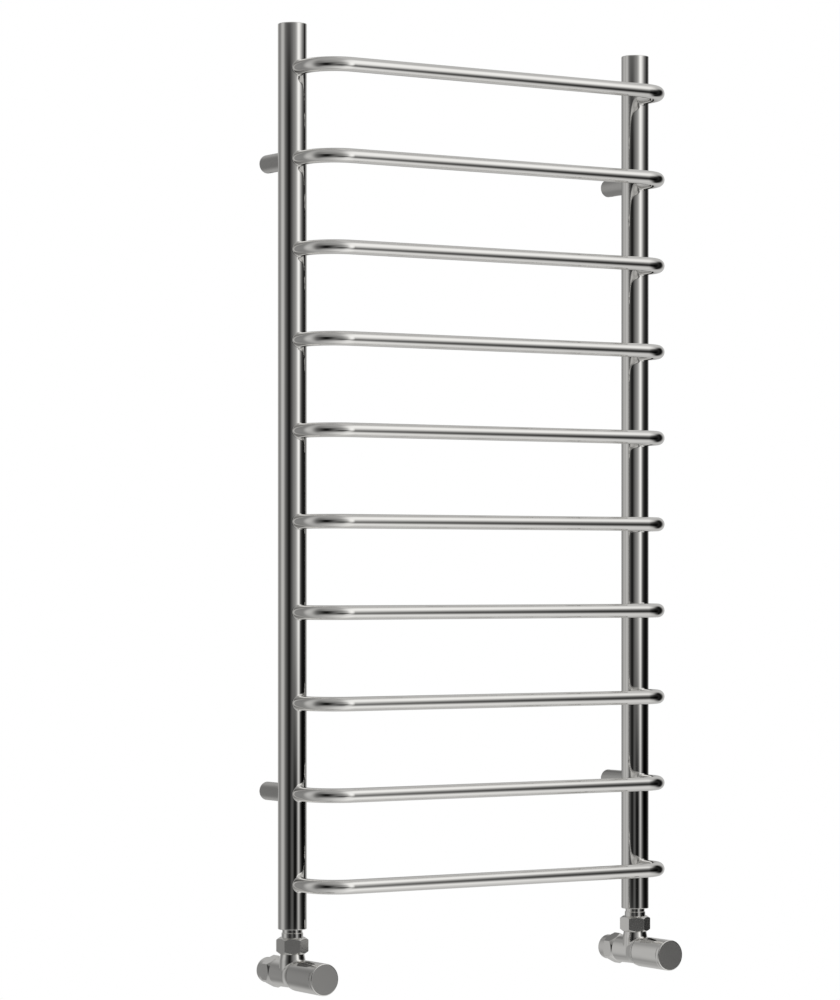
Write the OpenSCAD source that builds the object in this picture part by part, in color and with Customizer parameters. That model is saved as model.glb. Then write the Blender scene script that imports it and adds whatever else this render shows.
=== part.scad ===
// Wall-hung ladder towel radiator with two corner valves.
// Millimetres. +X runs along the bars, +Y points at the wall, +Z is up.
// Origin: in the wall plane, at the centre of the four wall fixings.

/* [Uprights] */
// Outside diameter of each upright tube
upright_od = 32; // [30:1:34]
// Wall thickness of each upright tube
upright_wall = 1.5; // [1.2:0.1:2]
// Distance between the centre lines of the two uprights
rail_centres = 468; // [368:10:768]

/* [Bars] */
// Outside diameter of each bar
bar_od = 16; // [14:1:18]
// Wall thickness of each bar
bar_wall = 1.2; // [1:0.1:1.5]
// Vertical distance from one bar to the next
bar_pitch = 100; // [80:5:120]
// Distance from each end of an upright to the nearest bar
bar_margin = 50; // [45:1:70]
// Distance from the upright's centre line forward to the bar's centre line
bar_reach = 68; // [60:1:80]
// Centre-line radius of the bend at each end of a bar
bar_bend_r = 35; // [30:1:40]

/* [Wall brackets] */
// Distance from the wall to the uprights' centre line
wall_gap = 56; // [55:1:66]
// Outside diameter of the bracket sleeve
sleeve_od = 20.5; // [20:0.5:24]
// Diameter of the peg that is screwed to the wall
peg_d = 12; // [11:0.5:13]
// Diameter of the hole for the wall screw
wall_hole_d = 5.5; // [4.5:0.1:6]

/* [Valves] */
// Distance from the foot of the upright down to the valve's axis
valve_drop = 49.8; // [49.6:0.2:56]
// Distance across the flats of the union nut and the compression nut
nut_af = 31; // [30.5:0.5:32]
// Diameter of the valve body in front of its compression nut
body_d = 31.6; // [31:0.2:32]
// Diameter of the round head at its front
head_d = 35.4; // [35:0.2:37]
// Distance from the valve's vertical axis forward to the flat face of its head
head_reach = 69; // [68:1:80]
// Outside diameter of the water pipe that the valve takes
pipe_d = 15; // [14:0.5:15]

/* [Motion] */
// Travel of the valve plug from open to closed
plug_travel = 4.5; // [3:0.1:4.5]

/* [Hidden] */
$fn = 96;

LEFT = -1;
RIGHT = 1;
UPPER = 1;
LOWER = -1;

// Finishes
chrome = [0.80, 0.81, 0.83];
brass = [0.80, 0.64, 0.32];
steel = [0.62, 0.63, 0.65];
rubber = [0.10, 0.10, 0.11];
nylon = [0.88, 0.88, 0.86];

// Radial clearance of a thread or sliding fit, and length added to cuts so that they go through
fit = 0.05;
cut = 1;

// Uprights
bar_count = 10;
upright_len = (bar_count - 1) * bar_pitch + 2 * bar_margin;
upright_r = upright_od / 2;
upright_bore_r = upright_r - upright_wall;
cap_t = 3;
cap_edge = 0.8;
cap_spigot = 5;
bush_spigot = 13;
foot_z = -upright_len / 2;

// Bars
bar_r = bar_od / 2;
bar_entry = upright_bore_r - 3.5;
bar_straight = rail_centres - 2 * bar_bend_r;

// Wall brackets, level with the second bar from each end
bracket_z = upright_len / 2 - bar_margin - bar_pitch;
sleeve_r = sleeve_od / 2;
sleeve_wall_gap = 0.8;
sleeve_edge = 0.8;
peg_r = peg_d / 2;
peg_len = 30;
peg_pocket = peg_len + 3;
screw_head_r = 4.6;
screw_head_depth = 14;
grub_r = 2.5;
grub_len = 3.8;
grub_from_wall = 12;
grub_socket_af = 2.5;
grub_socket_depth = 2;

// Air vent, near the top of the right upright and facing the wall
vent_below_top = 30;
boss_r = 6.5;
boss_proud = 1;
boss_len = 5;
vent_thread_r = 4;
vent_washer_t = 0.8;
vent_head_af = 9;
vent_head_r = vent_head_af / sqrt(3);
vent_head_t = 2;
vent_back = 7;
bleed_r = 2.5;
bleed_square = 5;
bleed_head = 2.2;
bleed_port_r = 0.6;
bleed_passage_r = 1.2;
bleed_tip = 2;

// Union between upright and valve; heights are below the foot of the upright
tail_thread_r = 10.48;
tail_thread_len = 12.5;
tail_bore_r = 7.5;
tail_neck_r = 10.75;
tail_end_r = 12.4;
o_ring_r = 1;
o_ring_path_r = 9.95;
o_ring_floor_r = 8.9;
o_ring_seat_r = 11.05;
o_ring_low = 0.4;
o_ring_high = 2.6;
nut_top = 9;
nut_len = 18.2;
nut_plate = 3.5;
nut_corner_r = nut_af / sqrt(3);
nut_edge_r = nut_corner_r - 3.9;
nut_edge_len = 2.8;
union_thread_r = 13.2;
flange_r = 13.15;
seal_r = 13;
flange_t = 3;
seal_t = 2;
flange_top = nut_top + nut_plate;
seal_top = flange_top + flange_t;
neck_top = seal_top + seal_t;

// Valve body; depths are towards the wall from the valve's vertical axis
body_r = body_d / 2;
body_back = 25.3;
body_edge = 0.8;
waist_r = body_r - 0.7;
waist_y = -1;
collar_r = head_d / 2 - 0.15;
collar_y = -15.5;
chamber_r = 10;
seat_y = 9;
seat_r = 5.5;
pipe_stop_y = 14;
pipe_r = pipe_d / 2;
stub_end = 37;
stub_mouth_r = 9.2;
stub_mouth = 2.5;
neck_bore_r = 6.5;
neck_root_r = 14.4;
neck_root_h = 16.3;
neck_low_r = 14.7;
neck_low_h = 8;

// Bonnet screwed into the front of the body
bonnet_thread_r = 10.95;
bonnet_thread_end = -5;
bonnet_seal_r = 12.6;
bonnet_seal_depth = 1.8;
bonnet_groove_r = 10.75;
bonnet_flange_r = 13.6;
bonnet_flange_t = 2;
bonnet_hex_af = 20;
bonnet_hex_end = -24;
stem_r = 8;
stem_end = -33;
skirt_r = 9;
guide_af = 13.2;
guide_end = -13;
gland_r = 5.6;
gland_w = 1.8;
gland_y = [-21, -28];
gland_ring_r = 0.72;
gland_ring_path_r = 4.8;
bonnet_ring_r = 0.85;
bonnet_ring_path_r = 11.65;

// Spindle, plug and washer, with the valve fully open
spindle_r = 4;
spindle_front = -34;
spindle_collar_r = 6;
spindle_collar_end = -11;
spindle_thread_r = 3.5;
spindle_back = -1;
wheel_square = 6;
wheel_square_end = -45;
key_square = 5.5;
key_square_end = -41;
plug_af = 12.6;
plug_front = -10.4;
plug_washer_t = 2;
plug_washer_r = 7.6;
seat_gap = 0.1;
plug_disc_t = 2;
plug_disc_r = 8.4;
plug_bore_end = -0.6;
plug_stud_r = 2;
washer_back = seat_y - seat_gap - plug_travel;
disc_back = washer_back - plug_washer_t;
disc_front = disc_back - plug_disc_t;

// Round head: the hand wheel on the left, the lockshield cap on the right
head_r = head_d / 2;
head_gap = 0.6;
head_back = collar_y - head_gap;
head_edge = 0.3;
head_cavity_r = 14;
face_joint = -head_reach + 4.8;
face_spigot_r = 14.45;
face_spigot = 6;
face_bore_r = 12;
face_skin = 2.5;
face_edge_r = 1.1;
web_front = -54;
web_back = -49;
hub_r = 9;
hub_end = -34.3;
wheel_screw_r = 1.95;
wheel_screw_head_r = 3.8;
wheel_screw_head = 3;
wheel_screw_end = -39;
insert_front = -28;
insert_back = -18.1;
insert_r = bonnet_hex_af / sqrt(3) + 0.3;

// Compression nut and olive behind the body
comp_front = 26;
comp_hex_end = 45;
comp_back = 55.2;
comp_edge_len = 4.5;
comp_skirt_r = 14.3;
comp_skirt_edge = 1.5;
comp_bore_end = 38.5;
comp_hole_r = pipe_r + 0.15;
olive_front = 36;
olive_back = 43;
olive_r = 9.1;
olive_edge_r = 8;
olive_ramp = 2;

// Height of a bar's centre line, counting from 1 at the top
function bar_z(k) = upright_len / 2 - bar_margin - (k - 1) * bar_pitch;

// A point of a rounded corner: centre [r, y], corner radius and angle
function corner(centre, radius, angle) = centre + radius * [cos(angle), sin(angle)];

// Placing helpers
module at_upright(side, z = 0) {
    translate([side * rail_centres / 2, -wall_gap, z])
        children();
}

module at_foot(side) {
    at_upright(side, foot_z)
        children();
}

module at_valve(side) {
    at_upright(side, foot_z - valve_drop)
        children();
}

// Turns a shape built along +Z so that it runs along +Y, towards the wall
module to_wall() {
    rotate([-90, 0, 0])
        children();
}

// Cylinder between two heights
module rod(r, from, to) {
    translate([0, 0, from])
        cylinder(h = to - from, r = r);
}

// Ring between two heights
module ring(r, bore, from, to) {
    difference() {
        rod(r, from, to);
        rod(bore, from - cut, to + cut);
    }
}

// Cone between two heights
module taper(r_from, r_to, from, to) {
    translate([0, 0, from])
        cylinder(h = to - from, r1 = r_from, r2 = r_to);
}

// Hexagonal prism between two heights, with two corners on the Y axis
module hex_rod(af, from, to) {
    translate([0, 0, from])
        rotate([0, 0, 90])
            cylinder(h = to - from, r = af / sqrt(3), $fn = 6);
}

// Square prism between two heights
module square_rod(width, from, to) {
    translate([-width / 2, -width / 2, from])
        cube([width, width, to - from]);
}

// Round-section ring at a height
module o_ring(path_r, section_r, height) {
    translate([0, 0, height])
        rotate_extrude()
            translate([path_r, 0])
                circle(r = section_r, $fn = 32);
}

// Solid turned from points [radius, height]
module turned(points) {
    rotate_extrude()
        polygon(points);
}

// ---- Welded rail ----

module upright(side) {
    tube_half = upright_len / 2 - cap_t;
    color(chrome)
        at_upright(side)
            difference() {
                rod(upright_r, -tube_half, tube_half);
                rod(upright_bore_r, -tube_half - cut, tube_half + cut);
                for (k = [1:bar_count])
                    translate([0, 0, bar_z(k)])
                        rotate([90, 0, 0])
                            rod(bar_r + fit, 0, upright_r + cut);
                if (side == RIGHT)
                    translate([0, 0, upright_len / 2 - vent_below_top])
                        to_wall()
                            rod(boss_r + fit, 0, upright_r + cut);
            }
}

module top_cap(side) {
    color(chrome)
        at_upright(side, upright_len / 2)
            turned([
                [0, 0],
                [upright_r - cap_edge, 0],
                [upright_r, -cap_edge],
                [upright_r, -cap_t],
                [upright_bore_r - fit, -cap_t],
                [upright_bore_r - fit, -cap_t - cap_spigot],
                [0, -cap_t - cap_spigot]
            ]);
}

module foot_bush(side) {
    color(chrome)
        at_foot(side)
            difference() {
                union() {
                    rod(upright_r, 0, cap_t);
                    rod(upright_bore_r - fit, cap_t / 2, cap_t + bush_spigot);
                }
                rod(tail_thread_r + fit, -cut, cap_t + bush_spigot + cut);
                rod(o_ring_seat_r, -cut, cap_t);
            }
}

// Solid path of a bar: out of both uprights, round two bends and straight across
module bar_path(r, overrun) {
    translate([-bar_straight / 2, -bar_reach, 0])
        rotate([0, 90, 0])
            cylinder(h = bar_straight, r = r);
    for (side = [0, 1])
        mirror([side, 0, 0]) {
            translate([-bar_straight / 2, bar_bend_r - bar_reach, 0])
                rotate([0, 0, 180])
                    rotate_extrude(angle = 90)
                        translate([bar_bend_r, 0])
                            circle(r = r);
            translate([-rail_centres / 2, bar_bend_r - bar_reach, 0])
                to_wall()
                    cylinder(h = bar_reach - bar_bend_r - bar_entry + overrun, r = r);
        }
}

module bar(k) {
    color(chrome)
        translate([0, -wall_gap, bar_z(k)])
            difference() {
                bar_path(bar_r, 0);
                bar_path(bar_r - bar_wall, cut);
            }
}

// ---- Wall brackets ----

module bracket_sleeve(side, level) {
    back = wall_gap - sleeve_wall_gap;
    color(chrome)
        at_upright(side, level * bracket_z)
            difference() {
                to_wall()
                    turned([
                        [0, 0],
                        [sleeve_r, 0],
                        [sleeve_r, back - sleeve_edge],
                        [sleeve_r - sleeve_edge, back],
                        [0, back]
                    ]);
                rod(upright_r + fit, -sleeve_r - cut, sleeve_r + cut);
                to_wall()
                    rod(peg_r + fit, wall_gap - peg_pocket, wall_gap);
                translate([0, wall_gap - grub_from_wall, 0])
                    rod(grub_r + fit, -sleeve_r - cut, 0);
            }
}

module wall_peg(side, level) {
    color(steel)
        at_upright(side, level * bracket_z)
            to_wall()
                difference() {
                    rod(peg_r, wall_gap - peg_len, wall_gap);
                    rod(wall_hole_d / 2, 0, wall_gap + cut);
                    rod(screw_head_r, 0, wall_gap - peg_len + screw_head_depth);
                }
}

module bracket_grub_screws() {
    color(steel)
        for (side = [LEFT, RIGHT], level = [UPPER, LOWER])
            at_upright(side, level * bracket_z)
                translate([0, wall_gap - grub_from_wall, -peg_r - grub_len])
                    difference() {
                        rod(grub_r, 0, grub_len);
                        hex_rod(grub_socket_af, -cut, grub_socket_depth);
                    }
}

// ---- Air vent ----

module at_vent() {
    at_upright(RIGHT, upright_len / 2 - vent_below_top)
        to_wall()
            children();
}

module air_vent_boss() {
    boss_face = upright_r + boss_proud;
    color(chrome)
        at_vent()
            ring(boss_r, vent_thread_r + fit, boss_face - boss_len, boss_face);
}

module air_vent_washer() {
    boss_face = upright_r + boss_proud;
    color(rubber)
        at_vent()
            ring(vent_head_r - 0.2, vent_thread_r + fit, boss_face, boss_face + vent_washer_t);
}

module air_vent_plug() {
    seat = upright_r + boss_proud + vent_washer_t;
    back = seat + vent_head_t;
    color(chrome)
        at_vent()
            difference() {
                union() {
                    rod(vent_thread_r, seat - vent_back, seat + vent_head_t / 2);
                    hex_rod(vent_head_af, seat, back);
                }
                rod(bleed_passage_r, seat - vent_back - cut, back);
                rod(bleed_r + fit, seat - bleed_tip, back + cut);
                translate([0, 0, seat + vent_head_t / 2])
                    rotate([0, 90, 0])
                        rod(bleed_port_r, 0, vent_head_r + cut);
            }
}

module bleed_screw() {
    seat = upright_r + boss_proud + vent_washer_t;
    back = seat + vent_head_t;
    color(brass)
        at_vent() {
            rod(bleed_r, seat - bleed_tip + seat_gap, back);
            square_rod(bleed_square, back, back + bleed_head);
        }
}

// ---- Seals shared by both valves ----

module tail_o_rings() {
    color(rubber)
        for (side = [LEFT, RIGHT])
            at_foot(side)
                o_ring(o_ring_path_r, o_ring_r, (o_ring_low + o_ring_high) / 2);
}

module union_seals() {
    color(rubber)
        for (side = [LEFT, RIGHT])
            at_foot(side)
                ring(seal_r, tail_bore_r, -neck_top, -seal_top);
}

module bonnet_o_rings() {
    color(rubber)
        for (side = [LEFT, RIGHT])
            at_valve(side)
                to_wall()
                    o_ring(bonnet_ring_path_r, bonnet_ring_r, collar_y + bonnet_seal_depth / 2);
}

module spindle_o_rings() {
    color(rubber)
        for (side = [LEFT, RIGHT], y = gland_y)
            at_valve(side)
                to_wall()
                    o_ring(gland_ring_path_r, gland_ring_r, y);
}

// ---- Union ----

module tail(side) {
    color(chrome)
        at_foot(side)
            turned([
                [tail_bore_r, tail_thread_len],
                [tail_thread_r, tail_thread_len],
                [tail_thread_r, o_ring_high + 0.4],
                [tail_neck_r, o_ring_high + 0.4],
                [tail_neck_r, o_ring_high],
                [o_ring_floor_r, o_ring_high],
                [o_ring_floor_r, o_ring_low],
                [tail_neck_r, o_ring_low],
                [tail_neck_r, 0],
                [tail_end_r, -nut_top],
                [tail_end_r, -flange_top],
                [flange_r, -flange_top],
                [flange_r, -seal_top],
                [tail_bore_r, -seal_top]
            ]);
}

module union_nut(side) {
    color(chrome)
        at_foot(side)
            difference() {
                intersection() {
                    hex_rod(nut_af, -nut_top - nut_len, -nut_top);
                    turned([
                        [0, -nut_top],
                        [nut_edge_r, -nut_top],
                        [nut_corner_r, -nut_top - nut_edge_len],
                        [nut_corner_r, nut_edge_len - nut_top - nut_len],
                        [nut_edge_r, -nut_top - nut_len],
                        [0, -nut_top - nut_len]
                    ]);
                }
                rod(tail_end_r + 0.25, -flange_top - cut, cut);
                rod(union_thread_r + fit, -nut_top - nut_len - cut, -flange_top);
            }
}

// ---- Valve body ----

// Barrel that runs from the compression nut forward to the collar in front of the neck
module body_barrel() {
    swell = collar_r - waist_r;
    swell_len = waist_y - collar_y;
    swell_steps = 8;
    turned(concat(
        [
            [0, body_back],
            [body_r - body_edge, body_back],
            [body_r, body_back - body_edge]
        ],
        [
            for (i = [0:swell_steps])
                let (t = i / swell_steps)
                    [waist_r + swell * (1 - cos(180 * t)) / 2, waist_y - swell_len * t]
        ],
        [[0, collar_y]]
    ));
    rod(union_thread_r, body_back - cut, stub_end);
}

// Neck that rises to the union nut; heights are above the valve's axis
module body_neck() {
    thread_low = valve_drop - nut_top - nut_len;
    turned([
        [0, 0],
        [neck_low_r, 0],
        [neck_low_r, neck_low_h],
        [neck_root_r, neck_root_h],
        [union_thread_r, thread_low],
        [union_thread_r, valve_drop - neck_top],
        [0, valve_drop - neck_top]
    ]);
}

module valve_body(side) {
    color(chrome)
        at_valve(side)
            difference() {
                union() {
                    to_wall()
                        body_barrel();
                    body_neck();
                }
                rod(neck_bore_r, 0, valve_drop);
                to_wall() {
                    rod(bonnet_seal_r, collar_y - cut, collar_y + bonnet_seal_depth);
                    rod(bonnet_thread_r + fit, collar_y, bonnet_thread_end);
                    rod(chamber_r, bonnet_thread_end - cut, seat_y);
                    rod(seat_r, seat_y - cut, pipe_stop_y + cut);
                    rod(pipe_r + fit, pipe_stop_y, stub_end + cut);
                    taper(pipe_r + fit, stub_mouth_r, stub_end - stub_mouth, stub_end);
                }
            }
}

module bonnet(side) {
    flange_front = collar_y - bonnet_flange_t;
    color(brass)
        at_valve(side)
            to_wall()
                difference() {
                    union() {
                        rod(skirt_r, bonnet_thread_end - cut, 0);
                        rod(bonnet_thread_r, collar_y + bonnet_seal_depth, bonnet_thread_end);
                        rod(bonnet_groove_r, collar_y - cut, collar_y + bonnet_seal_depth + cut);
                        rod(bonnet_flange_r, flange_front, collar_y);
                        hex_rod(bonnet_hex_af, bonnet_hex_end, flange_front);
                        rod(stem_r, stem_end, bonnet_hex_end + cut);
                    }
                    hex_rod(guide_af, guide_end, cut);
                    rod(spindle_r + fit, stem_end - cut, guide_end + cut);
                    for (y = gland_y)
                        rod(gland_r, y - gland_w / 2, y + gland_w / 2);
                }
}

// ---- Moving parts of the valves ----

module spindle(side) {
    square = side == LEFT ? wheel_square : key_square;
    square_end = side == LEFT ? wheel_square_end : key_square_end;
    color(brass)
        at_valve(side)
            to_wall()
                difference() {
                    union() {
                        square_rod(square, square_end, spindle_front + cut);
                        rod(spindle_r, spindle_front, guide_end + cut);
                        rod(spindle_collar_r, guide_end + fit, spindle_collar_end);
                        rod(spindle_thread_r, spindle_collar_end - cut, spindle_back);
                    }
                    if (side == LEFT)
                        rod(wheel_screw_r + fit, square_end - cut, wheel_screw_end + 2);
                }
}

module plug(side) {
    color(brass)
        at_valve(side)
            to_wall()
                difference() {
                    union() {
                        hex_rod(plug_af, plug_front, disc_front + cut);
                        rod(plug_disc_r, disc_front, disc_back);
                        rod(plug_stud_r, disc_back - cut, washer_back - 0.2);
                    }
                    rod(spindle_thread_r + fit, plug_front - cut, plug_bore_end);
                }
}

module plug_washer(side) {
    color(rubber)
        at_valve(side)
            to_wall()
                ring(plug_washer_r, plug_stud_r + fit, disc_back, washer_back);
}

// Outside of a head, from the gap at the body's collar to the joint with its face
module head_shell() {
    rotate_extrude()
        polygon([
            [0, head_back],
            [collar_r - head_edge, head_back],
            [collar_r, head_back - head_edge],
            [head_r, face_joint + head_edge],
            [head_r - head_edge, face_joint],
            [0, face_joint]
        ]);
}

// Disc that closes a head, plugged into its front
module head_face(side) {
    face_edge_steps = 4;
    edge_centre = [head_r - face_edge_r, -head_reach + face_edge_r];
    color(chrome)
        at_valve(side)
            to_wall()
                difference() {
                    union() {
                        turned(concat(
                            [
                                [0, face_joint],
                                [head_r - head_edge, face_joint],
                                [head_r, face_joint - head_edge]
                            ],
                            [
                                for (i = [0:face_edge_steps])
                                    corner(edge_centre, face_edge_r, -90 * i / face_edge_steps)
                            ],
                            [[0, -head_reach]]
                        ));
                        rod(face_spigot_r, face_joint - cut, face_joint + face_spigot);
                    }
                    rod(face_bore_r, -head_reach + face_skin, face_joint + face_spigot + cut);
                }
}

module handwheel() {
    color(chrome)
        at_valve(LEFT)
            to_wall()
                difference() {
                    head_shell();
                    difference() {
                        rod(head_cavity_r, web_back, head_back + cut);
                        rod(hub_r, web_back - cut, hub_end);
                    }
                    rod(face_spigot_r + fit, face_joint - cut, web_front);
                    square_rod(wheel_square + 2 * fit, wheel_square_end - fit, hub_end + cut);
                    rod(wheel_screw_r + fit, web_front - cut, hub_end);
                }
}

module handwheel_screw() {
    color(steel)
        at_valve(LEFT)
            to_wall()
                difference() {
                    union() {
                        rod(wheel_screw_r, web_front - cut, wheel_screw_end);
                        rod(wheel_screw_head_r, web_front - wheel_screw_head, web_front);
                    }
                    translate([-wheel_screw_head_r, -0.5, web_front - wheel_screw_head - cut])
                        cube([2 * wheel_screw_head_r, 1, 1.2 + cut]);
                }
}

module lockshield_cap() {
    color(chrome)
        at_valve(RIGHT)
            to_wall()
                difference() {
                    head_shell();
                    rod(head_cavity_r, web_front - cut, head_back + cut);
                    rod(face_spigot_r + fit, face_joint - cut, web_front);
                }
}

module lockshield_insert() {
    color(nylon)
        at_valve(RIGHT)
            to_wall()
                ring(head_cavity_r - fit, insert_r, insert_front, insert_back);
}

// ---- Pipe connection ----

module compression_nut(side) {
    color(chrome)
        at_valve(side)
            to_wall()
                difference() {
                    union() {
                        intersection() {
                            hex_rod(nut_af, comp_front, comp_hex_end);
                            turned([
                                [0, comp_front],
                                [nut_edge_r, comp_front],
                                [nut_corner_r, comp_front + comp_edge_len],
                                [nut_corner_r, comp_hex_end - comp_edge_len],
                                [nut_edge_r, comp_hex_end],
                                [0, comp_hex_end]
                            ]);
                        }
                        turned([
                            [0, comp_hex_end - cut],
                            [comp_skirt_r, comp_hex_end - cut],
                            [comp_skirt_r, comp_back - comp_skirt_edge],
                            [comp_skirt_r - comp_skirt_edge, comp_back],
                            [0, comp_back]
                        ]);
                    }
                    rod(union_thread_r + fit, comp_front - cut, comp_bore_end);
                    taper(union_thread_r + fit, comp_hole_r, comp_bore_end, comp_hex_end - cut);
                    rod(comp_hole_r, comp_bore_end, comp_back + cut);
                }
}

module olive(side) {
    color(brass)
        at_valve(side)
            to_wall()
                turned([
                    [pipe_r + fit, olive_front],
                    [olive_edge_r, olive_front],
                    [olive_r, olive_front + olive_ramp],
                    [olive_r, olive_back - olive_ramp],
                    [olive_edge_r, olive_back],
                    [pipe_r + fit, olive_back]
                ]);
}

upright(LEFT);  // left_upright
upright(RIGHT);  // right_upright
top_cap(LEFT);  // left_top_cap
top_cap(RIGHT);  // right_top_cap
foot_bush(LEFT);  // left_foot_bush
foot_bush(RIGHT);  // right_foot_bush
bar(1);  // bar_01
bar(2);  // bar_02
bar(3);  // bar_03
bar(4);  // bar_04
bar(5);  // bar_05
bar(6);  // bar_06
bar(7);  // bar_07
bar(8);  // bar_08
bar(9);  // bar_09
bar(10);  // bar_10
bracket_sleeve(LEFT, UPPER);  // upper_left_bracket_sleeve
bracket_sleeve(RIGHT, UPPER);  // upper_right_bracket_sleeve
bracket_sleeve(LEFT, LOWER);  // lower_left_bracket_sleeve
bracket_sleeve(RIGHT, LOWER);  // lower_right_bracket_sleeve
wall_peg(LEFT, UPPER);  // upper_left_wall_peg
wall_peg(RIGHT, UPPER);  // upper_right_wall_peg
wall_peg(LEFT, LOWER);  // lower_left_wall_peg
wall_peg(RIGHT, LOWER);  // lower_right_wall_peg
bracket_grub_screws();
air_vent_boss();
air_vent_washer();
air_vent_plug();
bleed_screw();
tail_o_rings();
union_seals();
bonnet_o_rings();
spindle_o_rings();
tail(LEFT);  // left_tail
union_nut(LEFT);  // left_union_nut
valve_body(LEFT);  // left_valve_body
bonnet(LEFT);  // left_bonnet
spindle(LEFT);  // left_spindle
plug(LEFT);  // left_plug
plug_washer(LEFT);  // left_plug_washer
compression_nut(LEFT);  // left_compression_nut
olive(LEFT);  // left_olive
handwheel();
head_face(LEFT);  // handwheel_face
handwheel_screw();
tail(RIGHT);  // right_tail
union_nut(RIGHT);  // right_union_nut
valve_body(RIGHT);  // right_valve_body
bonnet(RIGHT);  // right_bonnet
spindle(RIGHT);  // right_spindle
plug(RIGHT);  // right_plug
plug_washer(RIGHT);  // right_plug_washer
compression_nut(RIGHT);  // right_compression_nut
olive(RIGHT);  // right_olive
lockshield_cap();
head_face(RIGHT);  // lockshield_face
lockshield_insert();
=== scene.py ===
"""Looks of a ladder towel radiator with two corner valves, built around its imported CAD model.

Metres in the frame's own axes: +X along the bars, +Y towards the wall, +Z up.
"""
import cmath
import math

import bmesh
import bpy
from mathutils import Matrix, Vector


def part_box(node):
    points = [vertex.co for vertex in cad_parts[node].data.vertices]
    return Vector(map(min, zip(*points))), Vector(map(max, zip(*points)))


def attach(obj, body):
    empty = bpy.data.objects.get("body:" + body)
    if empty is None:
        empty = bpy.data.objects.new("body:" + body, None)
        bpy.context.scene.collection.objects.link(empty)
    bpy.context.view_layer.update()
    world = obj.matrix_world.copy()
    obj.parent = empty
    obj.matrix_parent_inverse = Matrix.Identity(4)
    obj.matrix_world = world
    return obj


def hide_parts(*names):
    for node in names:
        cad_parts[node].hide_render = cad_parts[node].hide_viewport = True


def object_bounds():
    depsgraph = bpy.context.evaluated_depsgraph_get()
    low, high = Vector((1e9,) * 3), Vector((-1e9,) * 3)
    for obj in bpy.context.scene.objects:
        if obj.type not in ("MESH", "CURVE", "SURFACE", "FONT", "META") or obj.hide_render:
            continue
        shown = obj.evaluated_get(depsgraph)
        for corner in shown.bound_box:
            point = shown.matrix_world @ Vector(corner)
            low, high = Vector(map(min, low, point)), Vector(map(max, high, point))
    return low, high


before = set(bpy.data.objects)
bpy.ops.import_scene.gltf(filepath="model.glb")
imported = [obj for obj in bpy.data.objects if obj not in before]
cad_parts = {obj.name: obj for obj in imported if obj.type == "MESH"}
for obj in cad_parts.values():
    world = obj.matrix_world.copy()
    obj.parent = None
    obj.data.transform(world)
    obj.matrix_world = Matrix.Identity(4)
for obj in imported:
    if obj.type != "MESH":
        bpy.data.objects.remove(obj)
CAD_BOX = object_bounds()

MM = 0.001
FLOOR_DROP = 0.12
SEGMENTS = 144
ARC_STEP = math.radians(13)
SHARP_ANGLE = math.radians(33)
TO_WALL = Matrix.Rotation(math.radians(-90), 4, "X")


# ---- Places and sizes, read from the frame ----

def low(node):
    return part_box(node)[0]


def high(node):
    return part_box(node)[1]


def centre(node):
    return (low(node) + high(node)) / 2


def half(node):
    return (high(node) - low(node)) / 2


SIDES = ("left", "right")
LEVELS = ("upper", "lower")
BARS = [f"bar_{k:02d}" for k in range(1, 11)]
UPRIGHT_R = half("left_upright").x
UPRIGHT_WALL = 1.5 * MM
UPRIGHT_TOP = high("left_top_cap").z
UPRIGHT_FOOT = low("left_foot_bush").z
UPRIGHT_Y = centre("left_upright").y
BAR_R = half("bar_01").z
BAR_WALL = 1.2 * MM
BAR_Y = low("bar_01").y + BAR_R
BAR_BACK = high("bar_01").y
BEND_R = 35 * MM
TUBE_EDGE = 0.8 * MM
FIT_GAP = 0.05 * MM
NUT_CORNER_CUT = 3.9 * MM
SLEEVE_R = half("upper_left_bracket_sleeve").z
VALVE_Z = centre("left_compression_nut").z
HEAD = {"left": "handwheel", "right": "lockshield_cap"}
FACE = {"left": "handwheel_face", "right": "lockshield_face"}


def upright_x(side):
    return centre(f"{side}_upright").x


# ---- Mesh building ----

def rounded(corners, closed=False):
    """Points of an outline of (radius, height, fillet) corners, with each fillet as an arc."""
    spots = [complex(r, h) for r, h, _ in corners]
    count = len(spots)
    points = []
    for i, here in enumerate(spots):
        fillet = corners[i][2]
        if fillet <= 0 or (not closed and i in (0, count - 1)):
            points.append(here)
            continue
        arriving = here - spots[i - 1]
        leaving = spots[(i + 1) % count] - here
        arriving /= abs(arriving)
        leaving /= abs(leaving)
        turn = cmath.phase(leaving / arriving)
        start = here - arriving * fillet * math.tan(abs(turn) / 2)
        hub = start + arriving * 1j * math.copysign(fillet, turn)
        steps = max(2, math.ceil(abs(turn) / ARC_STEP))
        points += [hub + (start - hub) * cmath.exp(1j * turn * k / steps) for k in range(steps + 1)]
    return points


def bridge(mesh, ring, other):
    """Faces between two rings of vertices, either of which may be a single point."""
    count = max(len(ring), len(other))
    for k in range(count):
        n = (k + 1) % count
        if len(ring) == 1:
            mesh.faces.new((ring[0], other[n], other[k]))
        elif len(other) == 1:
            mesh.faces.new((ring[k], ring[n], other[0]))
        else:
            mesh.faces.new((ring[k], ring[n], other[n], other[k]))


def skinned(rings, closed):
    """Mesh through rings of points. A ring whose points all meet becomes a single vertex."""
    mesh = bmesh.new()
    made = []
    for ring in rings:
        if (ring[0] - ring[1]).length < 1e-9:
            ring = ring[:1]
        made.append([mesh.verts.new(p) for p in ring])
    pairs = list(zip(made, made[1:]))
    if closed:
        pairs.append((made[-1], made[0]))
    for ring, other in pairs:
        if len(ring) + len(other) > 2:
            bridge(mesh, ring, other)
    bmesh.ops.recalc_face_normals(mesh, faces=mesh.faces)
    return mesh


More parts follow.
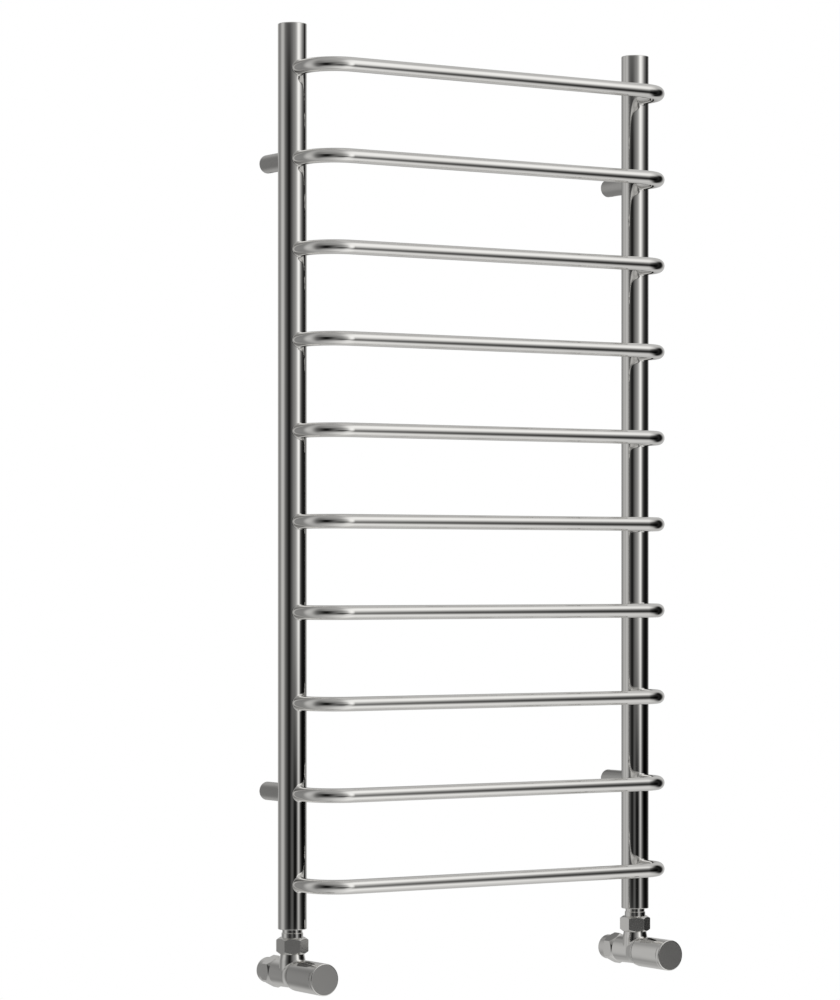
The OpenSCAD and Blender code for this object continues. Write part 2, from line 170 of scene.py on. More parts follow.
def turned(corners, closed=False):
    """Mesh of an outline turned about Z. An open outline starts and ends on the axis."""
    angles = [2 * math.pi * k / SEGMENTS for k in range(SEGMENTS)]
    rings = [
        [Vector((p.real * math.cos(a), p.real * math.sin(a), p.imag)) for a in angles]
        for p in rounded(corners, closed)
    ]
    return skinned(rings, closed)


def rod(radius, start, end, edge=0.0):
    """Cylinder about Z between two heights, with rounded rims."""
    return turned([(0, start, 0), (radius, start, edge), (radius, end, edge), (0, end, 0)])


def block(width, start, end):
    """Square prism about Z between two heights."""
    mesh = bmesh.new()
    scale = Matrix.Diagonal((width, width, end - start, 1))
    place = Matrix.Translation((0, 0, (start + end) / 2)) @ scale
    bmesh.ops.create_cube(mesh, size=1, matrix=place)
    return mesh


def hexagon(across_flats, fillet=0.5 * MM, steps=10):
    """Points round a hexagon with rounded corners, two of which are on the Y axis."""
    corner = across_flats / math.sqrt(3)
    spots = [cmath.rect(corner, math.pi / 2 + k * math.pi / 3) for k in range(6)]
    points = rounded([(p.real, p.imag, fillet) for p in spots], closed=True)
    dense = []
    for here, after in zip(points, points[1:] + points[:1]):
        share = steps if abs(after - here) > corner / 2 else 1
        dense += [here + (after - here) * k / share for k in range(share)]
    return dense


def nut(across_flats, outline):
    """Mesh of a hexagonal part about Z. outline gives its closed outline at a reach of the hexagon."""
    spokes = []
    for p in hexagon(across_flats):
        ray = p / abs(p)
        corners = rounded(outline(abs(p)), closed=True)
        spokes.append([Vector((q.real * ray.real, q.real * ray.imag, q.imag)) for q in corners])
    rings = [list(ring) for ring in zip(*spokes)]
    return skinned(rings, closed=True)


def pipe(path, radius, bore):
    """Tube in a level plane along path, a list of (point, direction), open at both ends."""
    angles = [2 * math.pi * k / SEGMENTS for k in range(SEGMENTS)]
    upward = Vector((0, 0, 1))

    def ring(point, direction, r):
        across = direction.cross(upward)
        return [point + (across * math.cos(a) + upward * math.sin(a)) * r for a in angles]

    rings = [ring(p, d, radius) for p, d in path] + [ring(p, d, bore) for p, d in reversed(path)]
    return skinned(rings, closed=True)


def as_object(mesh, name="shape"):
    data = bpy.data.meshes.new(name)
    mesh.to_mesh(data)
    mesh.free()
    thing = bpy.data.objects.new(name, data)
    bpy.context.scene.collection.objects.link(thing)
    return thing


def combined(base, operation, *others):
    """Boolean of bmeshes, as a bmesh."""
    target = as_object(base)
    tools = [as_object(other) for other in others]
    for tool in tools:
        change = target.modifiers.new("boolean", "BOOLEAN")
        change.operation = operation
        change.solver = "EXACT"
        change.object = tool
    result = bmesh.new()
    result.from_mesh(target.evaluated_get(bpy.context.evaluated_depsgraph_get()).data)
    for thing in (target, *tools):
        data = thing.data
        bpy.data.objects.remove(thing)
        bpy.data.meshes.remove(data)
    return result


def moved(mesh, place, turn=Matrix.Identity(4)):
    mesh.transform(Matrix.Translation(place) @ turn)
    return mesh


def piece(name, mesh, material, replaced=(), body="rail"):
    """A finished, smoothly shaded piece that rides on a body and stands for CAD nodes."""
    thing = as_object(mesh, name)
    thing.data.materials.append(material)
    thing.data.polygons.foreach_set("use_smooth", [True] * len(thing.data.polygons))
    thing.data.set_sharp_from_angle(angle=SHARP_ANGLE)
    weighted = thing.modifiers.new("weighted_normals", "WEIGHTED_NORMAL")
    weighted.keep_sharp = True
    weighted.weight = 100
    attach(thing, body)
    if replaced:
        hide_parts(*replaced)
    return thing


# ---- Materials ----

def shader(name, metallic, **values):
    """New material with its tree, its surface shader and a noise helper."""
    material = bpy.data.materials.new(name)
    material.use_nodes = True
    tree = material.node_tree
    surface = tree.nodes["Principled BSDF"]
    surface.inputs["Metallic"].default_value = metallic
    for socket, value in values.items():
        surface.inputs[socket.replace("_", " ")].default_value = value
    where = tree.nodes.new("ShaderNodeTexCoord").outputs["Object"]
    return material, tree, surface, where


def noise(tree, where, scale, detail=3, stretch=(1, 1, 1)):
    mapping = tree.nodes.new("ShaderNodeMapping")
    mapping.inputs["Scale"].default_value = stretch
    texture = tree.nodes.new("ShaderNodeTexNoise")
    texture.inputs["Scale"].default_value = scale
    texture.inputs["Detail"].default_value = detail
    tree.links.new(where, mapping.inputs["Vector"])
    tree.links.new(mapping.outputs["Vector"], texture.inputs["Vector"])
    return texture.outputs["Fac"]


def spread(tree, value, lowest, highest, start=0.3, end=0.7):
    """value, remapped to run from lowest to highest."""
    remap = tree.nodes.new("ShaderNodeMapRange")
    remap.inputs["From Min"].default_value = start
    remap.inputs["From Max"].default_value = end
    remap.inputs["To Min"].default_value = lowest
    remap.inputs["To Max"].default_value = highest
    tree.links.new(value, remap.inputs["Value"])
    return remap.outputs["Result"]


def tinted(tree, surface, value, dark, light):
    """Base colour between dark and light, by value."""
    ramp = tree.nodes.new("ShaderNodeValToRGB")
    ramp.color_ramp.elements[0].position = 0.3
    ramp.color_ramp.elements[0].color = (*dark, 1)
    ramp.color_ramp.elements[1].position = 0.7
    ramp.color_ramp.elements[1].color = (*light, 1)
    tree.links.new(value, ramp.inputs["Fac"])
    tree.links.new(ramp.outputs["Color"], surface.inputs["Base Color"])


def bumped(tree, surface, *layers):
    """Bump from (height value, depth in metres) layers."""
    normal = None
    for value, depth in layers:
        bump = tree.nodes.new("ShaderNodeBump")
        bump.inputs["Strength"].default_value = 1
        bump.inputs["Distance"].default_value = depth
        tree.links.new(value, bump.inputs["Height"])
        if normal is not None:
            tree.links.new(normal, bump.inputs["Normal"])
        normal = bump.outputs["Normal"]
    tree.links.new(normal, surface.inputs["Normal"])


def chrome(name, polish, ripple, brightness=0.92):
    """Chrome plate: a mirror with faint ripples and a film that dulls it in patches."""
    material, tree, surface, where = shader(name, 1)
    dark = [brightness * part for part in (0.98, 0.972, 0.955)]
    light = [brightness * part for part in (1.02, 1.013, 0.997)]
    tinted(tree, surface, noise(tree, where, 9), dark, light)
    film = noise(tree, where, 40, detail=5)
    tree.links.new(spread(tree, film, polish, polish + 0.03), surface.inputs["Roughness"])
    bumped(
        tree,
        surface,
        (noise(tree, where, 45, detail=1, stretch=(1, 1, 0.35)), ripple),
        (noise(tree, where, 900, detail=2), 0.0006 * MM),
    )
    return material


def brass(name):
    """Machined brass with turning marks."""
    material, tree, surface, where = shader(name, 1)
    tinted(tree, surface, noise(tree, where, 60), (0.60, 0.40, 0.14), (0.78, 0.57, 0.25))
    tree.links.new(spread(tree, noise(tree, where, 300), 0.22, 0.38), surface.inputs["Roughness"])
    bumped(tree, surface, (noise(tree, where, 2500, stretch=(0.1, 1, 0.1)), 0.003 * MM))
    return material


def steel(name):
    """Zinc-plated steel with a grey spangle."""
    material, tree, surface, where = shader(name, 1)
    tinted(tree, surface, noise(tree, where, 250), (0.48, 0.49, 0.50), (0.66, 0.67, 0.68))
    tree.links.new(spread(tree, noise(tree, where, 500), 0.28, 0.45), surface.inputs["Roughness"])
    bumped(tree, surface, (noise(tree, where, 1200), 0.01 * MM))
    return material


def rubber(name):
    """Matt black sealing rubber."""
    material, tree, surface, where = shader(name, 0)
    tinted(tree, surface, noise(tree, where, 400), (0.012, 0.012, 0.013), (0.035, 0.035, 0.037))
    tree.links.new(spread(tree, noise(tree, where, 900), 0.55, 0.75), surface.inputs["Roughness"])
    bumped(tree, surface, (noise(tree, where, 3000), 0.02 * MM))
    return material


def nylon(name):
    """Moulded natural nylon."""
    material, tree, surface, where = shader(name, 0, Subsurface_Weight=0.1)
    tinted(tree, surface, noise(tree, where, 80), (0.72, 0.70, 0.64), (0.80, 0.78, 0.73))
    tree.links.new(spread(tree, noise(tree, where, 700), 0.38, 0.52), surface.inputs["Roughness"])
    bumped(tree, surface, (noise(tree, where, 1500), 0.015 * MM))
    return material


RAIL_CHROME = chrome("rail_chrome", 0.02, 0.02 * MM)
VALVE_CHROME = chrome("valve_chrome", 0.06, 0.01 * MM)
NUT_CHROME = chrome("nut_chrome", 0.17, 0.01 * MM, 0.9)
FACE_CHROME = chrome("face_chrome", 0.34, 0.01 * MM, 0.57)
BRACKET_CHROME = chrome("bracket_chrome", 0.22, 0.01 * MM, 0.62)
BRASS = brass("machined_brass")
STEEL = steel("plated_steel")
RUBBER = rubber("seal_rubber")
NYLON = nylon("natural_nylon")


# ---- Rail ----

def upright(side):
    """Tube with a hole for each bar, and on the right side one for the air vent."""
    start = low(f"{side}_upright").z
    end = high(f"{side}_upright").z
    bore = UPRIGHT_R - UPRIGHT_WALL
    tube = turned([(bore, start, 0), (UPRIGHT_R, start, 0), (UPRIGHT_R, end, 0), (bore, end, 0)], closed=True)
    axis = Vector((upright_x(side), UPRIGHT_Y, 0))
    holes = [
        moved(rod(BAR_R + FIT_GAP, 0, 2 * UPRIGHT_R), (0, 0, centre(bar).z), TO_WALL.inverted())
        for bar in BARS
    ]
    if side == "right":
        vent = half("air_vent_boss").x + FIT_GAP
        holes.append(moved(rod(vent, 0, 2 * UPRIGHT_R), (0, 0, centre("air_vent_boss").z), TO_WALL))
    tube = moved(combined(tube, "DIFFERENCE", *holes), axis)
    piece(f"{side}_upright_tube", tube, RAIL_CHROME, [f"{side}_upright"])


def top_cap(side):
    """Plug welded into the top of an upright and ground flush with it."""
    top = UPRIGHT_TOP
    joint = high(f"{side}_upright").z
    spigot_r = UPRIGHT_R - UPRIGHT_WALL - FIT_GAP
    bottom = low(f"{side}_top_cap").z
    corners = [
        (0, bottom, 0),
        (spigot_r, bottom, TUBE_EDGE),
        (spigot_r, joint, 0),
        (UPRIGHT_R, joint, 0),
        (UPRIGHT_R, top, TUBE_EDGE),
        (0, top, 0),
    ]
    cap = moved(turned(corners), (upright_x(side), UPRIGHT_Y, 0))
    piece(f"{side}_top_plug", cap, RAIL_CHROME, [f"{side}_top_cap"])


def foot_bush(side):
    """Threaded ring in the foot of an upright, with a seat for the valve's tail."""
    joint = low(f"{side}_upright").z
    spigot_r = UPRIGHT_R - UPRIGHT_WALL - FIT_GAP
    top = high(f"{side}_foot_bush").z
    seat_r = 11.05 * MM
    thread_r = 10.53 * MM
    seat_top = UPRIGHT_FOOT + 3 * MM
    corners = [
        (seat_r, UPRIGHT_FOOT, 0.2 * MM),
        (UPRIGHT_R, UPRIGHT_FOOT, TUBE_EDGE),
        (UPRIGHT_R, joint, 0),
        (spigot_r, joint, 0),
        (spigot_r, top, TUBE_EDGE),
        (thread_r, top, TUBE_EDGE),
        (thread_r, seat_top, 0),
        (seat_r, seat_top, 0),
    ]
    bush = moved(turned(corners, closed=True), (upright_x(side), UPRIGHT_Y, 0))
    piece(f"{side}_foot_ring", bush, RAIL_CHROME, [f"{side}_foot_bush"])


def bar(node):
    """Tube that leaves both uprights, turns through two bends and runs straight across."""
    z = centre(node).z
    bend_y = BAR_Y + BEND_R
    steps = 30
    path = []
    for side, x in ((-1, upright_x("left")), (1, upright_x("right"))):
        leg = [(Vector((x, BAR_BACK, z)), Vector((0, -1, 0)))]
        for k in range(steps + 1):
            angle = math.radians(90) * k / steps
            spoke = Vector((side * math.cos(angle), -math.sin(angle), 0))
            hub = Vector((x - side * BEND_R, bend_y, z))
            leg.append((hub + spoke * BEND_R, Vector((-side * math.sin(angle), -math.cos(angle), 0))))
        if side == 1:
            leg = [(p, -d) for p, d in reversed(leg)]
        path += leg
    piece(f"{node}_tube", pipe(path, BAR_R, BAR_R - BAR_WALL), RAIL_CHROME, [node])


def saddle_bead(radius, fillet, facing):
    """Weld fillet between an upright about Z and a tube that leaves it along facing (-1 or 1) Y."""
    count = 96
    steps = 6
    sunk = 0.3 * MM
    rings = []
    for k in range(count):
        a = 2 * math.pi * k / count
        tube_out = Vector((math.cos(a), 0, math.sin(a)))
        reach = (radius + fillet) * tube_out
        reach.y = facing * math.sqrt((UPRIGHT_R + fillet) ** 2 - reach.x ** 2)
        upright_out = Vector((reach.x, reach.y, 0)).normalized()
        arc = [-tube_out.slerp(upright_out, i / steps) * fillet + reach for i in range(steps + 1)]
        root_x = (radius - sunk) * tube_out.x
        root = Vector((root_x, 0, (radius - sunk) * tube_out.z))
        root.y = facing * math.sqrt((UPRIGHT_R - sunk) ** 2 - root_x ** 2)
        rings.append([*arc, root])
    return skinned(rings, closed=True)


def welds(side):
    """Weld beads round the bars' ends and the bracket sleeves."""
    fillet = 1.1 * MM
    together = bmesh.new()
    data = bpy.data.meshes.new("bead")
    spots = [(BAR_R, -1, centre(bar_node).z) for bar_node in BARS]
    spots += [(SLEEVE_R, 1, centre(f"{level}_{side}_bracket_sleeve").z) for level in LEVELS]
    for radius, facing, z in spots:
        bead = moved(saddle_bead(radius, fillet, facing), (upright_x(side), UPRIGHT_Y, z))
        bead.to_mesh(data)
        bead.free()
        together.from_mesh(data)
    bpy.data.meshes.remove(data)
    piece(f"{side}_weld_beads", together, RAIL_CHROME)


def bracket_sleeve(side, level):
    """Stub tube welded to the back of an upright, with a pocket for the wall peg and a hole for its screw."""
    node = f"{level}_{side}_bracket_sleeve"
    peg = f"{level}_{side}_wall_peg"
    z = centre(node).z
    back = high(node).y - UPRIGHT_Y
    peg_r = half(peg).x + FIT_GAP
    spare_depth = 3 * MM
    pocket = low(peg).y - spare_depth - UPRIGHT_Y
    grub_hole_r = 2.55 * MM
    grub = Vector((0, -12 * MM - UPRIGHT_Y, 0))
    sleeve = moved(rod(SLEEVE_R, 0, back, TUBE_EDGE), (0, 0, 0), TO_WALL)
    sleeve = combined(
        sleeve,
        "DIFFERENCE",
        rod(UPRIGHT_R + FIT_GAP, -2 * SLEEVE_R, 2 * SLEEVE_R),
        moved(rod(peg_r, pocket, 2 * back), (0, 0, 0), TO_WALL),
        moved(rod(grub_hole_r, -2 * SLEEVE_R, 0), grub),
    )
    sleeve = moved(sleeve, (upright_x(side), UPRIGHT_Y, z))
    piece(f"{node}_stub", sleeve, BRACKET_CHROME, [node])


# ---- Valves ----

def valve_place(side):
    return Vector((upright_x(side), UPRIGHT_Y, VALVE_Z))


def tail(side):
    """Threaded tail that joins the upright's foot to the valve, stepped below the foot."""
    bore = 7.5
    outline = [
        (bore, -15.5, 0.3),
        (13.15, -15.5, 0.3),
        (13.15, -12.5, 0.2),
        (12.4, -12.5, 0),
        (12.4, -9, 0.2),
        (12, -9, 0),
        (12, -4.2, 0.15),
        (11.2, -3.8, 0.15),
        (11.2, -0.05, 0),
        (10.75, -0.05, 0),
        (10.75, 0.4, 0),
        (8.9, 0.4, 0),
        (8.9, 2.6, 0),
        (10.75, 2.6, 0),
        (10.75, 3, 0),
        (10.48, 3, 0),
        (10.48, 12.5, 0.6),
        (bore, 12.5, 0.3),
    ]
    corners = [(r * MM, h * MM, fillet * MM) for r, h, fillet in outline]
    mesh = moved(turned(corners, closed=True), (upright_x(side), UPRIGHT_Y, UPRIGHT_FOOT))
    piece(f"{side}_union_tail", mesh, VALVE_CHROME, [f"{side}_tail"])


def union_nut(side):
    """Hexagonal nut that draws the tail down onto the valve."""
    node = f"{side}_union_nut"
    across_flats = 2 * half(node).x
    bottom = low(node).z - UPRIGHT_FOOT
    top = high(node).z - UPRIGHT_FOOT
    edge_r = across_flats / math.sqrt(3) - NUT_CORNER_CUT
    slope = 2.8 / 3.9
    plate = top - 3.5 * MM
    hole_r = 12.65 * MM
    bore = 13.25 * MM

    def outline(reach):
        drop = (reach - edge_r) * slope
        return [
            (bore, bottom, 0.15 * MM),
            (edge_r, bottom, 0.2 * MM),
            (reach, bottom + drop, 0.35 * MM),
            (reach, top - drop, 0.35 * MM),
            (edge_r, top, 0.3 * MM),
            (hole_r, top, 0.3 * MM),
            (hole_r, plate, 0),
            (bore, plate, 0),
        ]

    mesh = moved(nut(across_flats, outline), (upright_x(side), UPRIGHT_Y, UPRIGHT_FOOT))
    piece(f"{side}_union_hexagon", mesh, NUT_CHROME, [node])


def compression_nut(side):
    """Hexagonal nut with a round skirt, where the supply pipe enters."""
    node = f"{side}_compression_nut"
    across_flats = 2 * half(node).x
    front = low(node).y - UPRIGHT_Y
    back = high(node).y - UPRIGHT_Y
    hex_end = 45 * MM
    edge_r = across_flats / math.sqrt(3) - NUT_CORNER_CUT
    slope = 4.5 / 3.9
    skirt_r = 14.3 * MM
    hole_r = 7.65 * MM
    bore = 13.25 * MM

    def outline(reach):
        drop = (reach - edge_r) * slope
        return [
            (bore, front, 0.1 * MM),
            (edge_r, front, 0.2 * MM),
            (reach, front + drop, 0.4 * MM),
            (reach, hex_end - drop, 0.4 * MM),
            (skirt_r, hex_end - (skirt_r - edge_r) * slope, 0.3 * MM),
            (skirt_r, back, 1.5 * MM),
            (hole_r, back, 0.3 * MM),
            (hole_r, back - 11 * MM, 0),
            (bore, front + 12.5 * MM, 0),
        ]

    mesh = moved(nut(across_flats, outline), valve_place(side), TO_WALL)
    piece(f"{side}_pipe_nut", mesh, NUT_CHROME, [node])


def valve_body(side):
    """Barrel with a swelling collar at its front, and a neck that rises to the union."""
    node = f"{side}_valve_body"
    collar_r = half(node).x
    front = low(node).y - UPRIGHT_Y
    back = high(node).y - UPRIGHT_Y
    top = high(node).z - VALVE_Z
    waist_r = 15.1 * MM
    waist = -1 * MM
    shoulder = 25.3 * MM
    steps = 14
    barrel = [(0, front, 0), (collar_r, front, 0.25 * MM)]
    for k in range(1, steps + 1):
        share = k / steps
        r = waist_r + (collar_r - waist_r) * (1 + math.cos(math.pi * share)) / 2
        barrel.append((r, front + (waist - front) * share, 0))
    barrel += [
        (15.8 * MM, shoulder, 0.8 * MM),
        (13.2 * MM, shoulder, 0.3 * MM),
        (13.2 * MM, back, 0.8 * MM),
        (0, back, 0),
    ]
    nut_bottom = low(f"{side}_union_nut").z - VALVE_Z
    neck = [
        (0, 0, 0),
        (14.7 * MM, 0, 0),
        (14.7 * MM, 8 * MM, 0),
        (14.4 * MM, 16.3 * MM, 8 * MM),
        (13.2 * MM, nut_bottom, 8 * MM),
        (13.2 * MM, top, 0.6 * MM),
        (0, top, 0),
    ]
    solid = combined(moved(turned(barrel), (0, 0, 0), TO_WALL), "UNION", turned(neck))
    cavity = [
        (0, 2 * front, 0),
        (12.6 * MM, 2 * front, 0),
        (12.6 * MM, front + 1.8 * MM, 0),
        (11 * MM, front + 1.8 * MM, 0),
        (11 * MM, -5 * MM, 0),
        (10 * MM, -5 * MM, 0),
        (10 * MM, 9 * MM, 0),
        (5.5 * MM, 9 * MM, 0),
        (5.5 * MM, 14 * MM, 0),
        (7.55 * MM, 14 * MM, 0),
        (7.55 * MM, back - 2.5 * MM, 0),
        (9.2 * MM, back, 0),
        (9.2 * MM, 2 * back, 0),
        (0, 2 * back, 0),
    ]
    solid = combined(
        solid, "DIFFERENCE", moved(turned(cavity), (0, 0, 0), TO_WALL), rod(6.5 * MM, 0, 2 * top)
    )
    piece(f"{side}_valve_casting", moved(solid, valve_place(side)), VALVE_CHROME, [node])


def head_corners(node, joint):
    """Outside of a round head, from its back edge to the joint with its face."""
    back = high(node).y - UPRIGHT_Y
    front_r = half(node).x
    back_r = front_r - 0.15 * MM
    groove = 0.3 * MM
    corners = [
        (front_r - groove, joint, 0.1 * MM),
        (front_r, joint + groove, 0.1 * MM),
        (back_r, back, groove),
    ]
    return back, corners


def handwheel():
    """Round shell with a web and a square socket for the spindle."""
    node = HEAD["left"]
    joint = low(node).y - UPRIGHT_Y
    back, outside = head_corners(node, joint)
    web_front, web_back = -54 * MM, -49 * MM
    corners = [
        (1.95 * MM, web_front, 0),
        (14.5 * MM, web_front, 0),
        (14.5 * MM, joint, 0.2 * MM),
        *outside,
        (14 * MM, back, 0.3 * MM),
        (14 * MM, web_back, 1 * MM),
        (9 * MM, web_back, 1 * MM),
        (9 * MM, -34.3 * MM, 0.5 * MM),
        (1.95 * MM, -34.3 * MM, 0),
    ]
    shell = turned(corners, closed=True)
    shell = combined(shell, "DIFFERENCE", block(6.1 * MM, -45.05 * MM, -30 * MM))
    mesh = moved(shell, valve_place("left"), TO_WALL)
    piece("handwheel_shell", mesh, VALVE_CHROME, [node], "handwheel")


def lockshield_cap():
    """Round shell that pulls off to uncover the spindle."""
    node = HEAD["right"]
    joint = low(node).y - UPRIGHT_Y
    back, outside = head_corners(node, joint)
    corners = [
        (14 * MM, -54 * MM, 0),
        (14.5 * MM, -54 * MM, 0),
        (14.5 * MM, joint, 0.2 * MM),
        *outside,
        (14 * MM, back, 0.3 * MM),
    ]
    mesh = moved(turned(corners, closed=True), valve_place("right"), TO_WALL)
    piece("lockshield_shell", mesh, VALVE_CHROME, [node], "lockshield_cap")


def head_face(side):
    """Satin disc with a polished, rounded rim that plugs into the front of a head."""
    node = FACE[side]
    front = low(node).y - UPRIGHT_Y
    joint = low(HEAD[side]).y - UPRIGHT_Y
    back = high(node).y - UPRIGHT_Y
    r = half(node).x
    groove = 0.3 * MM
    corners = [
        (0, front, 0),
        (r, front, 1.1 * MM),
        (r, joint - groove, 0.1 * MM),
        (r - groove, joint, 0.1 * MM),
        (14.45 * MM, joint, 0),
        (14.45 * MM, back, 0.5 * MM),
        (12 * MM, back, 0.3 * MM),
        (12 * MM, front + 2.5 * MM, 1 * MM),
        (0, front + 2.5 * MM, 0),
    ]
    mesh = moved(turned(corners), valve_place(side), TO_WALL)
    disc = piece(f"{HEAD[side]}_disc", mesh, VALVE_CHROME, [node], HEAD[side])
    disc.data.materials.append(FACE_CHROME)
    for part in disc.data.polygons:
        if part.normal.y < -0.999 and part.center.y < UPRIGHT_Y + front + 0.01 * MM:
            part.material_index = 1


# ---- Carried-over CAD nodes ----

CAD_FINISHES = [
    (RUBBER, ["air_vent_washer", "tail_o_rings", "union_seals", "bonnet_o_rings", "spindle_o_rings",
              "left_plug_washer", "right_plug_washer"]),
    (BRASS, ["bleed_screw", "left_bonnet", "right_bonnet", "left_spindle", "right_spindle",
             "left_plug", "right_plug", "left_olive", "right_olive"]),
    (STEEL, ["bracket_grub_screws", "handwheel_screw"]
     + [f"{level}_{side}_wall_peg" for level in LEVELS for side in SIDES]),
    (RAIL_CHROME, ["air_vent_boss", "air_vent_plug"]),
    (NYLON, ["lockshield_insert"]),
]


def finish_cad_nodes():
    for material, nodes in CAD_FINISHES:
        for node in nodes:
            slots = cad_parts[node].data.materials
            slots.clear()
            slots.append(material)


# ---- Studio ----

# Soft boxes (bright) and flags (dark) on a tent round the rail, each over the ones before it: name, azimuth,
# elevation, half width, half height, side blur and top blur in degrees, then brightness.
# Azimuth 0 is in front of the rail and 90 at its right.
STUDIO = [
    ("front dusk", 38, 0, 161, 120, 37, 30, 0.061),
    ("ground", 0, -85, 400, 59, 40, 9.5, 0.631),
    ("ceiling", 20, 75.5, 221, 33.5, 39.5, 12, 0.491),
    ("key", -3, -5.5, 39.5, 55, 31, 29, 1.34),
    ("far flag", 66.5, -11, 47, 19, 8.5, 20, 0),
    ("right wall", 119, 0.5, 30, 86, 18, 32.5, 0.5),
    ("behind", 219.5, 4, 62.5, 76.5, 26.5, 60, 0.21),
    ("left wall", 248.5, 4, 16.5, 40.5, 13.5, 60, 0.54),
    ("left dusk", 326.5, 8, 45.5, 64, 31, 55, 0.241),
    ("left flag", 302.5, 0, 23, 20, 22, 5, 0.011),
    ("low flag", 348.5, -14, 20.5, 6.5, 13, 5, 0.005),
    ("top light", 40.5, 39, 35, 15, 41, 10, 0.935),
    ("back dip", 200.5, 0, 10.5, 57.5, 9, 14.5, 0),
    ("side flag", 87.5, -3, 16, 30.5, 11.5, 8, 0.008),
    ("lower key", 17.5, -20, 13, 9.5, 16.5, 42.5, 0.294),
    ("core flag", 52, 2, 16.5, 9, 11.5, 26, 0),
    ("left low", 312, -27.5, 43, 4, 8, 8, 0.148),
    ("hot line", 15.5, 11.5, 7.5, 18.5, 8.5, 10, 0.961),
]
TENT_BRIGHTNESS = 0.547
TENT_RADIUS = 2.6
WARMTH = (1.0, 0.994, 0.978)


def math_node(tree, operation, *values):
    node = tree.nodes.new("ShaderNodeMath")
    node.operation = operation
    for socket, value in zip(node.inputs, values):
        if isinstance(value, (int, float)):
            socket.default_value = value
        else:
            tree.links.new(value, socket)
    return node.outputs["Value"]


def within(tree, distance, reach, blur):
    """1 inside a reach and 0 outside it, with a soft edge."""
    edge = tree.nodes.new("ShaderNodeMapRange")
    edge.interpolation_type = "SMOOTHSTEP"
    edge.inputs["From Min"].default_value = reach - blur
    edge.inputs["From Max"].default_value = reach + blur
    edge.inputs["To Min"].default_value = 1
    edge.inputs["To Max"].default_value = 0
    tree.links.new(distance, edge.inputs["Value"])
    return edge.outputs["Result"]


def tent_material():
    material = bpy.data.materials.new("studio_tent")
    material.use_nodes = True
    material.cycles.emission_sampling = "NONE"
    tree = material.node_tree
    tree.nodes.clear()
    where = tree.nodes.new("ShaderNodeVectorMath")
    where.operation = "NORMALIZE"
    tree.links.new(tree.nodes.new("ShaderNodeTexCoord").outputs["Object"], where.inputs[0])
    separate = tree.nodes.new("ShaderNodeSeparateXYZ")
    tree.links.new(where.outputs["Vector"], separate.inputs["Vector"])
    x, y, z = separate.outputs
    azimuth = math_node(tree, "DEGREES", math_node(tree, "ARCTAN2", x, math_node(tree, "MULTIPLY", y, -1)))
    elevation = math_node(tree, "DEGREES", math_node(tree, "ARCSINE", z))
    level = TENT_BRIGHTNESS
    for _, at, up, wide, tall, side_blur, top_blur, brightness in STUDIO:
        turned_by = math_node(tree, "WRAP", math_node(tree, "SUBTRACT", azimuth, at), 180, -180)
        aside = within(tree, math_node(tree, "ABSOLUTE", turned_by), wide, side_blur)
        raised = math_node(tree, "ABSOLUTE", math_node(tree, "SUBTRACT", elevation, up))
        cover = math_node(tree, "MULTIPLY", aside, within(tree, raised, tall, top_blur))
        change = math_node(tree, "SUBTRACT", brightness, level)
        level = math_node(tree, "ADD", level, math_node(tree, "MULTIPLY", cover, change))
    glow = tree.nodes.new("ShaderNodeEmission")
    glow.inputs["Color"].default_value = (*WARMTH, 1)
    tree.links.new(level, glow.inputs["Strength"])
    output = tree.nodes.new("ShaderNodeOutputMaterial")
    tree.links.new(glow.outputs["Emission"], output.inputs["Surface"])
    return material


def studio():
    """Tent that the rail reflects and the camera doesn't see, in an even grey world."""
    world = bpy.data.worlds.new("studio")
    world.use_nodes = True
    world.node_tree.nodes["Background"].inputs["Color"].default_value = (0.4, 0.4, 0.39, 1)
    bpy.context.scene.world = world
    mesh = bmesh.new()
    bmesh.ops.create_uvsphere(mesh, u_segments=96, v_segments=48, radius=TENT_RADIUS)
    tent = as_object(mesh, "studio_tent")
    tent.data.materials.append(tent_material())
    tent.visible_camera = False
    tent.visible_shadow = False


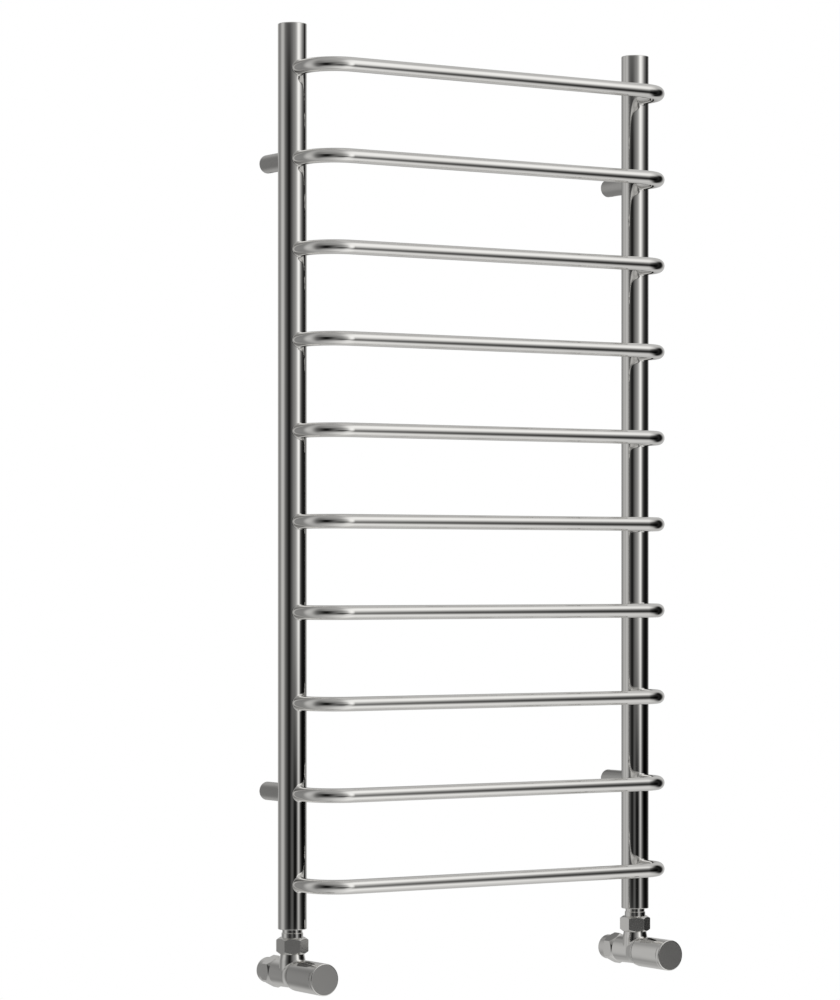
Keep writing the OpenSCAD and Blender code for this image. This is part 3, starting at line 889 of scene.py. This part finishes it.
def back_card():
    """Soft-edged card some way behind the rail, which the left faces of its right side see best."""
    half_width, half_height = 0.245, 1.1
    side_blur, top_blur = 0.3, 0.345
    mesh = bmesh.new()
    scale = Matrix.Diagonal((half_width + side_blur, half_height + top_blur, 1, 1))
    bmesh.ops.create_grid(mesh, x_segments=1, y_segments=1, size=1, matrix=TO_WALL @ scale)
    card = as_object(mesh, "back_card")
    card.location = (-0.149, 0.42, -0.01)
    material = bpy.data.materials.new("back_card")
    material.use_nodes = True
    material.cycles.emission_sampling = "NONE"
    tree = material.node_tree
    tree.nodes.clear()
    separate = tree.nodes.new("ShaderNodeSeparateXYZ")
    tree.links.new(tree.nodes.new("ShaderNodeTexCoord").outputs["Object"], separate.inputs["Vector"])
    wide = within(tree, math_node(tree, "ABSOLUTE", separate.outputs["X"]), half_width, side_blur)
    tall = within(tree, math_node(tree, "ABSOLUTE", separate.outputs["Z"]), half_height, top_blur)
    mix = tree.nodes.new("ShaderNodeMixShader")
    glow = tree.nodes.new("ShaderNodeEmission")
    glow.inputs["Color"].default_value = (*WARMTH, 1)
    glow.inputs["Strength"].default_value = 0.474
    tree.links.new(math_node(tree, "MULTIPLY", wide, tall), mix.inputs["Fac"])
    tree.links.new(tree.nodes.new("ShaderNodeBsdfTransparent").outputs["BSDF"], mix.inputs[1])
    tree.links.new(glow.outputs["Emission"], mix.inputs[2])
    output = tree.nodes.new("ShaderNodeOutputMaterial")
    tree.links.new(mix.outputs["Shader"], output.inputs["Surface"])
    card.data.materials.append(material)
    card.visible_camera = False
    card.visible_shadow = False


def plain_glow(name, brightness):
    """Even white that only the camera sees."""
    material = bpy.data.materials.new(name)
    material.use_nodes = True
    surface = material.node_tree.nodes["Principled BSDF"]
    surface.inputs["Base Color"].default_value = (0, 0, 0, 1)
    surface.inputs["Specular IOR Level"].default_value = 0
    surface.inputs["Emission Color"].default_value = (1, 1, 1, 1)
    surface.inputs["Emission Strength"].default_value = brightness
    return material


def camera_only(thing):
    thing.visible_glossy = False
    thing.visible_diffuse = False
    thing.visible_transmission = False
    thing.visible_shadow = False


def backdrop():
    """Pale floor below the rail and a white surround far behind it."""
    reach = 30.0
    floor_mesh = bmesh.new()
    bmesh.ops.create_circle(floor_mesh, cap_ends=True, segments=96, radius=reach)
    floor = as_object(moved(floor_mesh, (0, 0, CAD_BOX[0].z - FLOOR_DROP)), "floor")
    floor.data.materials.append(plain_glow("pale_floor", 1.0))
    camera_only(floor)
    dome_mesh = bmesh.new()
    bmesh.ops.create_uvsphere(dome_mesh, u_segments=48, v_segments=24, radius=reach)
    dome = as_object(dome_mesh, "surround")
    dome.data.materials.append(plain_glow("white_surround", 1.0))
    camera_only(dome)


def camera():
    """Level camera in front of the rail and to its left, shifted up to frame the rail."""
    turn = math.radians(32.72)
    data = bpy.data.cameras.new("camera")
    data.sensor_width = 36
    data.lens = 130
    data.shift_y = 0.0747
    data.clip_end = 200
    thing = bpy.data.objects.new("camera", data)
    bpy.context.scene.collection.objects.link(thing)
    thing.location = (-2.272, UPRIGHT_Y - 3.433, -0.1085)
    thing.rotation_euler = (math.radians(90), 0, -turn)
    bpy.context.scene.camera = thing


for side in SIDES:
    upright(side)
    top_cap(side)
    foot_bush(side)
    welds(side)
    for level in LEVELS:
        bracket_sleeve(side, level)
    tail(side)
    union_nut(side)
    compression_nut(side)
    valve_body(side)
    head_face(side)
for node in BARS:
    bar(node)
handwheel()
lockshield_cap()
finish_cad_nodes()
studio()
back_card()
backdrop()
camera()
bpy.context.scene.view_settings.view_transform = "Standard"
